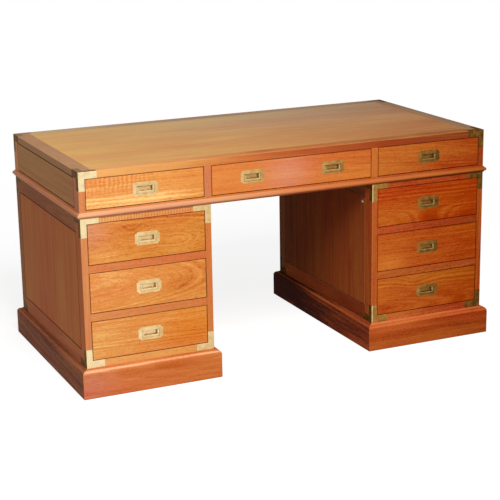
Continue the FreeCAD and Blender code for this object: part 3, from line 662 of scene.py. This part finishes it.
FRONT_COLOURS = ((104, 30, 4), (158, 60, 12), (208, 119, 50), (228, 149, 78), (250, 204, 128))
flamed_wood = wood("flamed_front_teak", FRONT_COLOURS, figure=0.40, ring=6 * MM, fibre=0.34, streak=0.28,
                   patch=0.2, fleck=0.6, wander=14 * MM, ripple_every=15 * MM)
quiet_wood = wood("quiet_front_teak", FRONT_COLOURS, figure=0.16, ring=5 * MM, fibre=0.2, streak=0.14,
                  patch=0.2, fleck=0.3)
arched_wood = wood("arched_front_teak", FRONT_COLOURS, figure=0.24, ring=7 * MM, fibre=0.2, streak=0.14,
                   patch=0.2, fleck=0.3)
front_woods = {"top_centre": quiet_wood, "top_right": quiet_wood, "right_upper": arched_wood,
               "right_middle": quiet_wood, "right_lower": arched_wood}
FRONT_ARRIS = 0.35 * MM
BOX_ARRIS = 0.3 * MM
figures = {
    "top_left": {"tone": 0.04, "pith": (0.10, 0.06), "lean": (0.0, 0.01),
                 "ripples": [(-0.09, 0.035, 0.12, 0.035, 1.7)],
                 "pale": [(-0.05, -0.035, 0.22, 0.022, 0.22), (0.18, 0.01, 0.08, 0.06, -0.05),
                          (0.06, -0.03, 0.10, 0.02, 0.1)]},
    "top_centre": {"tone": 0.04, "pith": (0.05, 0.20), "lean": (0.0, 0.02),
                   "flush": [(-0.02, 0.0, 0.09, 0.08, 0.25)], "faded_and_sheen": [(-0.02, 0.0, 0.09, 0.08, 0.4)],
                   "pale": [(-0.02, -0.01, 0.08, 0.06, 0.04)]},
    "top_right": {"tone": 0.0, "pith": (0.08, 0.05), "lean": (0.06, 0.02)},
    "left_upper": {"tone": -0.12, "pith": (0.01, 0.05), "lean": (0.0, 0.10),
                   "swells": [(-0.06, 0.03, 0.05, 0.03, 0.03), (0.12, -0.03, 0.06, 0.05, -0.014)],
                   "pale": [(-0.06, 0.03, 0.05, 0.03, -0.1), (-0.16, -0.045, 0.05, 0.015, 0.14),
                            (0.0, -0.05, 0.04, 0.02, -0.08)],
                   "flush": [(-0.2, 0.05, 0.06, 0.06, 0.3)], "faded_and_sheen": [(-0.2, 0.05, 0.06, 0.06, 0.4)]},
    "left_middle": {"tone": 0.0, "pith": (-0.02, 0.055), "lean": (0.0, 0.20),
                    "pale": [(-0.12, 0.04, 0.07, 0.03, 0.1), (0.12, -0.01, 0.06, 0.03, -0.12)]},
    "left_lower": {"tone": 0.02, "pith": (0.10, 0.05), "lean": (0.02, 0.02),
                   "flush": [(0.14, 0.0, 0.1, 0.08, 0.3)], "faded_and_sheen": [(0.14, 0.0, 0.1, 0.08, -0.15)],
                   "pale": [(-0.16, 0.02, 0.06, 0.05, 0.06), (0.1, -0.03, 0.12, 0.02, -0.05)]},
    "right_upper": {"tone": -0.02, "pith": (0.06, 0.04), "lean": (0.0, 0.03),
                    "swells": [(0.0, -0.06, 0.12, 0.05, 0.03)],
                    "flush": [(*ALL_OVER, 0.4)], "faded_and_sheen": [(*ALL_OVER, -0.05)]},
    "right_middle": {"tone": 0.03, "pith": (0.12, 0.08), "lean": (0.0, 0.02),
                     "pale": [(-0.15, -0.04, 0.06, 0.03, 0.08)], "faded_and_sheen": [(*ALL_OVER, -0.04)]},
    "right_lower": {"tone": 0.02, "pith": (0.05, 0.06), "lean": (0.0, 0.06),
                    "swells": [(-0.05, 0.04, 0.06, 0.03, 0.03)], "faded_and_sheen": [(*ALL_OVER, -0.04)]},
}
for name, board in figures.items():
    boarded(name + "_drawer_front", front_woods.get(name, flamed_wood), arris=FRONT_ARRIS, boards={0: board})
    boarded(name + "_drawer_box", bare_wood, arris=BOX_ARRIS)


# ---- Recessed pulls ------------------------------------------------------------------------------
# A cast brass plate with a finger cup behind it is let into the drawer front, and a bail swings
# on two pins in the cup. The brass is brushed and lacquered, and darkens towards the right, as
# tarnish and as a painted dark reflection.

BRASS_COLOURS = ((84, 54, 18), (156, 110, 50), (208, 170, 108), (238, 216, 168))
BRUSHING = (60, 1500, 1500)
STAIN = (55, 55, 55)
STAIN_TONE = 0.5
BRUSHING_TONE = 0.15
STAIN_ROUGHNESS = 0.2
BRUSHING_ROUGHNESS = 0.15
BRUSHING_BUMP = 0.15
BRUSHING_DEPTH = 0.1 * MM
PATINA = (0.65, 0.95)
BRIGHT_METAL = 0.88


def brass(name, colours=BRASS_COLOURS, matt=0.22):
    """Brushed metal under lacquer that has thinned.

    The tarnish_and_painted_light attribute, tarnishing together with painted shade, highlight and
    reflection, takes it from its last colour to its first, and from PATINA on from metal to a dull
    brown skin.
    """
    material = bpy.data.materials.new(name)
    material.use_nodes = True
    tree = material.node_tree
    shader = tree.nodes["Principled BSDF"]
    add, maths = bench(tree)
    tarnish_and_painted_light = add("ShaderNodeAttribute", attribute_name="tarnish_and_painted_light", out="Fac")
    place = add("ShaderNodeTexCoord", out="Object")

    def cloud(stretch):
        scaled = add("ShaderNodeVectorMath", {0: place, 1: stretch}, operation="MULTIPLY")
        return add("ShaderNodeTexNoise", {"Vector": scaled, "Scale": 1.0, "Detail": 3.0})

    brushing = cloud(BRUSHING)
    stains = cloud(STAIN)
    value = maths("SUBTRACT", 1.0, tarnish_and_painted_light)
    value = maths("ADD", value, maths("MULTIPLY", maths("SUBTRACT", stains, NOISE_MEAN), STAIN_TONE))
    value = maths("ADD", value, maths("MULTIPLY", maths("SUBTRACT", brushing, NOISE_MEAN), BRUSHING_TONE))
    tree.links.new(graded(tree, value, colours), shader.inputs["Base Color"])
    rough = maths("MULTIPLY_ADD", brushing, BRUSHING_ROUGHNESS, matt)
    rough = maths("MULTIPLY_ADD", stains, STAIN_ROUGHNESS, rough)
    tree.links.new(rough, shader.inputs["Roughness"])
    bump = add("ShaderNodeBump", {"Strength": BRUSHING_BUMP, "Distance": BRUSHING_DEPTH, "Height": brushing})
    tree.links.new(bump, shader.inputs["Normal"])
    skin = add("ShaderNodeMapRange", {"Value": tarnish_and_painted_light, "From Min": PATINA[0], "From Max": PATINA[1]})
    bright = maths("SUBTRACT", 1.0, skin)
    tree.links.new(maths("MULTIPLY", bright, BRIGHT_METAL), shader.inputs["Metallic"])
    shader.inputs["Specular IOR Level"].default_value = 0.0
    return material


aged_brass_with_painted_light = brass("aged_brass_with_painted_light")
PLINTH_REACH = 20 * MM
CUP_MOUTH = 1.5 * MM
CUP_FROM = cad_box[0][1] + PLINTH_REACH + CUP_MOUTH
CUP_HEIGHT = 25 * MM
PULL_MIDDLES = [np.mean([corner[0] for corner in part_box(node)]) for node in frame["nodes"]
                if node.endswith("_bail")]
# The width of the painted highlight along a bracket's kneehole edge.
HIGHLIGHT_BAND = 4 * MM

# Tarnish in the middle of the desk, and how much more, as tarnish and as a painted dark reflection,
# there is in each metre further right.
TARNISH = 0.45
TARNISH_AND_SHADE_GROWTH = 0.66
TARNISH_LIMITS = (0.02, 0.95)

# How far a face is turned to one side before it counts as facing that way.
SQUARELY = 0.7
PARTLY = 0.3

# How much duller or brighter a place on a bail, a plate or a cup is, or grows in each metre:
# a bail's inner edges bright with handling and a painted glint, a painted sheen that dulls across
# each plate, lower plates a little brighter, and painted shade in the cup that deepens towards
# its head and varies with the pull's place, beside a painted highlight on its right wall.
INNER_RUB_AND_GLINT = 0.6
PLATE_SHEEN_ACROSS = 1.8
PLATE_DOWN = 0.1
CUP_SHADE = 0.1
CUP_SHADE_UPWARD = 0.2
CUP_WALL_HIGHLIGHT = 0.5
LEFT_CUP_DOWN = 0.25
LEFT_CUP_ACROSS = 0.1
RIGHT_CUP_ACROSS = 0.3

# How much duller a bracket's leaf is that looks aside or up, a painted dark reflection, and the
# least tarnish it has; and how much brighter the painted highlight along the kneehole edge is.
SIDE_LEAF_SHADE = (0.7, 0.88)
TOP_LEAF_SHADE = (0.6, 0.8)
EDGE_HIGHLIGHT = 0.5


def with_tarnish_and_painted_light(mesh, dull=0.0, least=TARNISH_LIMITS[0], cupped=False, rubbed=False, rubbed_from=None):
    """Gives every face corner of a brass mesh its tarnish_and_painted_light, from 0 to 1.

    It grows from the left end of the desk to the right, as tarnishing and as a painted dark
    reflection. Leaves turned to the side or upwards are duller, a painted dark reflection. On a
    plate it grows a little from left to right as well, a painted sheen, and in its cup painted
    shade grows from the foot to the head, beside a painted highlight on the bright right wall. The
    inner edges of a bail are kept bright, by handling and as a painted highlight, and a narrow band
    along the bracket edges at rubbed_from carries a painted highlight.
    """
    attribute = mesh.attributes.new("tarnish_and_painted_light", "FLOAT", "CORNER")
    heights = [vertex.co.z for vertex in mesh.vertices]
    middle = (min(heights) + max(heights)) / 2
    for face in mesh.polygons:
        normal = face.normal
        from_middle = min((face.center.x - place for place in PULL_MIDDLES), key=abs)
        for corner in face.loop_indices:
            x, y, z = mesh.vertices[mesh.loops[corner].vertex_index].co
            # Darker towards the right, as tarnish and as a painted dark reflection.
            value = TARNISH + TARNISH_AND_SHADE_GROWTH * x + dull
            # A bail's upward faces below its middle and the inner face of its right arm are brighter, by
            # handling and as a painted highlight.
            if rubbed:
                inner = (normal.z > PARTLY and z < middle) or (normal.x < -PARTLY and from_middle > 0)
                value = max(value, least) - INNER_RUB_AND_GLINT * inner
            elif cupped:
                below_top = cad_box[1][2] - middle
                # Across each plate a painted sheen fades to the right; lower plates are a little brighter.
                value = max(value, least) + PLATE_SHEEN_ACROSS * from_middle - PLATE_DOWN * below_top
                # Painted shade in the cup, deeper towards its head, a painted highlight on its right wall,
                # and an amount that changes with the pull's place on the desk.
                if y > CUP_FROM:
                    value += CUP_SHADE + CUP_SHADE_UPWARD * (z - middle) / CUP_HEIGHT
                    value -= CUP_WALL_HIGHLIGHT * (normal.x < -SQUARELY)
                    value -= (RIGHT_CUP_ACROSS * x if x > 0
                              else LEFT_CUP_DOWN * below_top - LEFT_CUP_ACROSS * x)
            # Leaves that look aside or up are duller, a painted dark reflection.
            elif abs(normal.x) > SQUARELY:
                value = max(value + SIDE_LEAF_SHADE[0], SIDE_LEAF_SHADE[1])
            elif normal.z > SQUARELY:
                value = max(value + TOP_LEAF_SHADE[0], TOP_LEAF_SHADE[1])
            # The painted highlight along the bracket edge by the kneehole.
            elif rubbed_from and abs(face.center.x - rubbed_from) < HIGHLIGHT_BAND:
                value -= EDGE_HIGHLIGHT
            attribute.data[corner].value = min(TARNISH_LIMITS[1], max(TARNISH_LIMITS[0], value))
    return mesh


def cast(node, arris, shortest=0.0, metal=aged_brass_with_painted_light, **finish):
    """Finishes the metal solids of a node with softened edges."""
    forms = [whole_form(solid, arris, shortest=shortest) for solid in solids_of(node)]
    return shown_as(with_tarnish_and_painted_light(gathered(forms, node, {}), **finish), node, metal)


PLATE_ARRIS = 0.35 * MM
BAIL_ARRIS = 0.7 * MM
PIN_EDGE = 2 * MM
for node in frame["nodes"]:
    if node.endswith("_pull_plate"):
        cast(node, PLATE_ARRIS, dull=0.05, least=0.24, cupped=True)
    if node.endswith("_bail"):
        cast(node, BAIL_ARRIS, shortest=PIN_EDGE, dull=0.05, least=0.2, rubbed=True)


# ---- Corner brackets and stud -----------------------------------------------------------------------
# Brass angles let in flush at the corners of the top box and of both pedestals, each leaf held
# by three countersunk screws filed level with it. A small domed stud of polished nickel is
# driven into the kneehole.

LEG_WIDTH = 22 * MM
SCREW_FROM_END = 10 * MM
SCREWS_IN_LEAF = 3
HEAD_DIAMETER = 5.2 * MM
HEAD_DEPTH = 1.3 * MM
HEAD_FOOT = 0.5
HEAD_SIDES = 20
SLOT_WIDTH = 0.7 * MM
SLOT_DEPTH = 0.5 * MM
SCREW_SINK = 0.06 * MM
SCREW_SEED = 7
LEVEL_DECIMALS = 5


def screw_places(solid):
    """Middles of a bracket's screws on its outer faces, each with the way that the face looks."""
    low, high = solid.min((0, 1)), solid.max((0, 1))
    towards_low = solid.mean((0, 1)) < (low + high) / 2
    arris = np.where(towards_low, low, high)
    inward = np.where(towards_low, 1.0, -1.0)
    depths = np.unique(np.abs(solid[:, :, 2] - arris[2]).round(LEVEL_DECIMALS))
    level = next(depth for depth in depths if LEG_WIDTH / 2 < depth < LEG_WIDTH * 3 / 2)
    widths = (LEG_WIDTH, LEG_WIDTH, level)
    far = high[0] - low[0] - SCREW_FROM_END
    places = []
    for face in range(3):
        across, along = (way for way in range(3) if way != face)
        corner = {way: widths[way] / 2 for way in (across, along)}
        for spot in (corner, {**corner, across: far}, {**corner, along: far}):
            place = arris.copy()
            for way, depth in spot.items():
                place[way] += inward[way] * depth
            out = np.zeros(3)
            out[face] = -inward[face]
            places.append((place, out))
    three_faced = high[2] > cad_box[1][2] - MM
    return places if three_faced else places[:2 * SCREWS_IN_LEAF]


def screw_tree():
    """Geometry Nodes: a slotted countersunk head on every point, turned to its facing vector."""
    tree = bpy.data.node_groups.new("countersunk_screws", "GeometryNodeTree")
    tree.interface.new_socket("Geometry", in_out="INPUT", socket_type="NodeSocketGeometry")
    for title in ("Head diameter", "Head depth", "Slot width", "Slot depth", "Sink"):
        tree.interface.new_socket(title, in_out="INPUT", socket_type="NodeSocketFloat")
    tree.interface.new_socket("Seed", in_out="INPUT", socket_type="NodeSocketInt")
    tree.interface.new_socket("Geometry", in_out="OUTPUT", socket_type="NodeSocketGeometry")
    add, maths = bench(tree)
    given = tree.nodes.new("NodeGroupInput").outputs
    radius = maths("MULTIPLY", given["Head diameter"], 0.5)
    cone = add("GeometryNodeMeshCone", {"Vertices": HEAD_SIDES, "Radius Top": radius,
                                        "Radius Bottom": maths("MULTIPLY", radius, HEAD_FOOT),
                                        "Depth": given["Head depth"]})
    sunk = maths("MULTIPLY", maths("ADD", given["Head depth"], given["Sink"]), -1.0)
    downwards = add("ShaderNodeCombineXYZ", {"Z": sunk})
    head = add("GeometryNodeTransform", {"Geometry": cone, "Translation": downwards})
    slot_size = add("ShaderNodeCombineXYZ", {"X": given["Head diameter"], "Y": given["Slot width"],
                                             "Z": maths("MULTIPLY", given["Slot depth"], 2.0)})
    bar = add("GeometryNodeMeshCube", {"Size": slot_size})
    slotted = add("GeometryNodeMeshBoolean", {"Mesh 1": head, "Mesh 2": bar}, operation="DIFFERENCE")
    facing = add("GeometryNodeInputNamedAttribute", {"Name": "facing"}, data_type="FLOAT_VECTOR")
    upright = add("FunctionNodeAlignRotationToVector", {"Vector": facing}, axis="Z")
    heads = add("GeometryNodeInstanceOnPoints", {"Points": given["Geometry"], "Instance": slotted,
                                                 "Rotation": upright})
    chance = add("FunctionNodeRandomValue", {3: math.tau, "Seed": given["Seed"]}, out=1)
    turn = add("ShaderNodeCombineXYZ", {"Z": chance})
    turned = add("GeometryNodeRotateInstances", {"Instances": heads, "Rotation": turn})
    real = add("GeometryNodeRealizeInstances", {"Geometry": turned})
    finished = add("GeometryNodeSetMaterial", {"Geometry": real, "Material": aged_brass_with_painted_light})
    tree.links.new(finished, tree.nodes.new("NodeGroupOutput").inputs["Geometry"])
    return tree


def made_real(carrier):
    """The mesh that an object's modifiers leave, as a plain mesh of its own."""
    evaluated = carrier.evaluated_get(bpy.context.evaluated_depsgraph_get())
    return bpy.data.meshes.new_from_object(evaluated)


places = [place for solid in solids_of("corner_brackets") for place in screw_places(solid)]
middles = bpy.data.meshes.new("bracket_screws")
middles.from_pydata([place for place, _ in places], [], [])
facing = middles.attributes.new("facing", "FLOAT_VECTOR", "POINT")
facing.data.foreach_set("vector", np.concatenate([out for _, out in places]))
screws = bpy.data.objects.new("bracket_screws", middles)
bpy.context.scene.collection.objects.link(screws)
driven = screws.modifiers.new("screws", "NODES")
driven.node_group = screw_tree()
screw_sizes = {"Head diameter": HEAD_DIAMETER, "Head depth": HEAD_DEPTH, "Slot width": SLOT_WIDTH,
               "Slot depth": SLOT_DEPTH, "Sink": SCREW_SINK, "Seed": SCREW_SEED}
for socket in driven.node_group.interface.items_tree:
    if socket.name in screw_sizes:
        driven[socket.identifier] = screw_sizes[socket.name]
heads = with_tarnish_and_painted_light(made_real(screws), dull=0.06)
screws.modifiers.clear()
screws.data = heads
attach(screws, "carcass")

# The cutters of the seats stand SEAT_RISE proud of the leaves and go on widening up to there.
SEAT_CLEARANCE = 0.12 * MM
SEAT_RISE = 1 * MM
SEAT_WIDENING = 1 + SEAT_RISE / HEAD_DEPTH * (1 - HEAD_FOOT)
seats = bmesh.new()
for place, out in places:
    upright = Vector(out).to_track_quat("Z", "Y").to_matrix().to_4x4()
    middle = Matrix.Translation(Vector(place) + Vector(out) * (SEAT_RISE - HEAD_DEPTH) / 2)
    bmesh.ops.create_cone(seats, cap_ends=True, segments=HEAD_SIDES, radius1=HEAD_DIAMETER / 2 * HEAD_FOOT,
                          radius2=(HEAD_DIAMETER / 2 + SEAT_CLEARANCE) * SEAT_WIDENING,
                          depth=HEAD_DEPTH + SEAT_RISE, matrix=middle @ upright)
seats_mesh = bpy.data.meshes.new("screw_seats")
seats.to_mesh(seats_mesh)
seats.free()
cutter = bpy.data.objects.new("screw_seats", seats_mesh)
bpy.context.scene.collection.objects.link(cutter)
BRACKET_ARRIS = 0.25 * MM
KNEEHOLE_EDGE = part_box("right_pedestal_side_frames")[0][0]
forms = [whole_form(solid, BRACKET_ARRIS) for solid in solids_of("corner_brackets")]
# Each bracket is cut where the painted highlight along its kneehole edge ends.
for form in forms:
    bmesh.ops.bisect_plane(form, geom=form.verts[:] + form.edges[:] + form.faces[:],
                           plane_co=(KNEEHOLE_EDGE + HIGHLIGHT_BAND, 0, 0), plane_no=(1, 0, 0))
uncut = bpy.data.objects.new("brackets_uncut", gathered(forms, "corner_brackets", {}))
bpy.context.scene.collection.objects.link(uncut)
seating = uncut.modifiers.new("seats", "BOOLEAN")
seating.operation = "DIFFERENCE"
seating.solver = "EXACT"
seating.object = cutter
shown_as(with_tarnish_and_painted_light(made_real(uncut), rubbed_from=KNEEHOLE_EDGE), "corner_brackets", aged_brass_with_painted_light)
for helper in (cutter, uncut):
    bpy.data.objects.remove(helper)

STUD_COLOURS = ((150, 140, 118), (240, 236, 222), (252, 250, 242))
STUD_ARRIS = 0.6 * MM
polished_nickel = brass("polished_nickel", STUD_COLOURS, matt=0.05)
cast("kneehole_stud", STUD_ARRIS, dull=-0.65, metal=polished_nickel)


# ---- Studio --------------------------------------------------------------------------------------------
# A pale floor that runs out into white, a large soft lamp in front and to the left, and even
# light from all round. None of it belongs to the desk.

SKY = 0.32
WHITE = (1, 1, 1, 1)
scene = bpy.context.scene
world = bpy.data.worlds.new("studio")
scene.world = world
world.use_nodes = True


def seen_directly(tree):
    """1 for rays from the camera, off a glossy surface or through glass, 0 for light on the desk."""
    _, maths = bench(tree)
    ray = tree.nodes.new("ShaderNodeLightPath").outputs
    in_view = maths("MAXIMUM", ray["Is Camera Ray"], ray["Is Glossy Ray"])
    return maths("MAXIMUM", in_view, ray["Is Transmission Ray"])


_, maths = bench(world.node_tree)
strength = maths("MULTIPLY_ADD", seen_directly(world.node_tree), 1.0 - SKY, SKY)
background = world.node_tree.nodes["Background"]
background.inputs["Color"].default_value = WHITE
world.node_tree.links.new(strength, background.inputs["Strength"])

FLOOR_HALF = 30.0
FLOOR_COLOUR = (0.6, 0.6, 0.6, 1)
SHADOW_CATCH = (0.35, 0.35, 0.35, 1)
FLOOR_GLOW = 0.8
WHITE_FROM = 1.6
WHITE_BY = 3.2
floor_mesh = bpy.data.meshes.new("floor")
corners = [(x * FLOOR_HALF, y * FLOOR_HALF, 0) for x, y in ((-1, -1), (1, -1), (1, 1), (-1, 1))]
floor_mesh.from_pydata(corners, [], [(0, 1, 2, 3)])
floor = bpy.data.objects.new("floor", floor_mesh)
scene.collection.objects.link(floor)
floor_paint = bpy.data.materials.new("floor_paint")
floor_paint.use_nodes = True
tree = floor_paint.node_tree
tree.nodes.remove(tree.nodes["Principled BSDF"])
add, _ = bench(tree)
pale = add("ShaderNodeBsdfDiffuse", {"Color": FLOOR_COLOUR})
faint = add("ShaderNodeBsdfDiffuse", {"Color": SHADOW_CATCH})
glow = add("ShaderNodeEmission", {"Color": WHITE, "Strength": FLOOR_GLOW})
white = add("ShaderNodeEmission", {"Color": WHITE, "Strength": 1.0})
lit = add("ShaderNodeAddShader", {0: faint, 1: glow})
place = add("ShaderNodeTexCoord", out="Object")
away = add("ShaderNodeVectorMath", {0: place}, operation="LENGTH", out="Value")
edge = add("ShaderNodeMapRange", {"Value": away, "From Min": WHITE_FROM, "From Max": WHITE_BY},
           interpolation_type="SMOOTHSTEP")
backdrop = add("ShaderNodeMixShader", {"Fac": edge, 1: lit, 2: white})
both = add("ShaderNodeMixShader", {"Fac": seen_directly(tree), 1: pale, 2: backdrop})
tree.links.new(both, tree.nodes["Material Output"].inputs["Surface"])
floor.data.materials.append(floor_paint)

LAMP_PLACE = (-0.7, -3.4, 3.4)
LAMP_TARGET = (0, -0.2, 0.45)
LAMP_WIDTH = 1.5
LAMP_POWER = 165
lamp = bpy.data.lights.new("key", "AREA")
lamp.size = LAMP_WIDTH
lamp.energy = LAMP_POWER
key = bpy.data.objects.new("key", lamp)
key.location = LAMP_PLACE
key.rotation_euler = (Vector(LAMP_TARGET) - Vector(LAMP_PLACE)).to_track_quat("-Z", "Y").to_euler()
key.visible_camera = False
scene.collection.objects.link(key)

CAMERA_PLACE = (-2.098212, -4.700109, 1.720472)
CAMERA_TURN = (1.80209, -0.40074, 0.28269)
FOCAL_PIXELS = 1443.744
FRAME_PIXELS = 500
SENSOR_WIDTH = 36
turn = Vector(CAMERA_TURN)
to_camera = Matrix.Rotation(turn.length, 3, turn.normalized())
camera_axes = Matrix((to_camera[0], -to_camera[1], -to_camera[2])).transposed()
camera = bpy.data.objects.new("camera", bpy.data.cameras.new("camera"))
camera.data.lens = FOCAL_PIXELS / FRAME_PIXELS * SENSOR_WIDTH
camera.data.sensor_width = SENSOR_WIDTH
camera.matrix_world = Matrix.Translation(CAMERA_PLACE) @ camera_axes.to_4x4()
scene.collection.objects.link(camera)
scene.camera = camera
scene.view_settings.view_transform = "Standard"
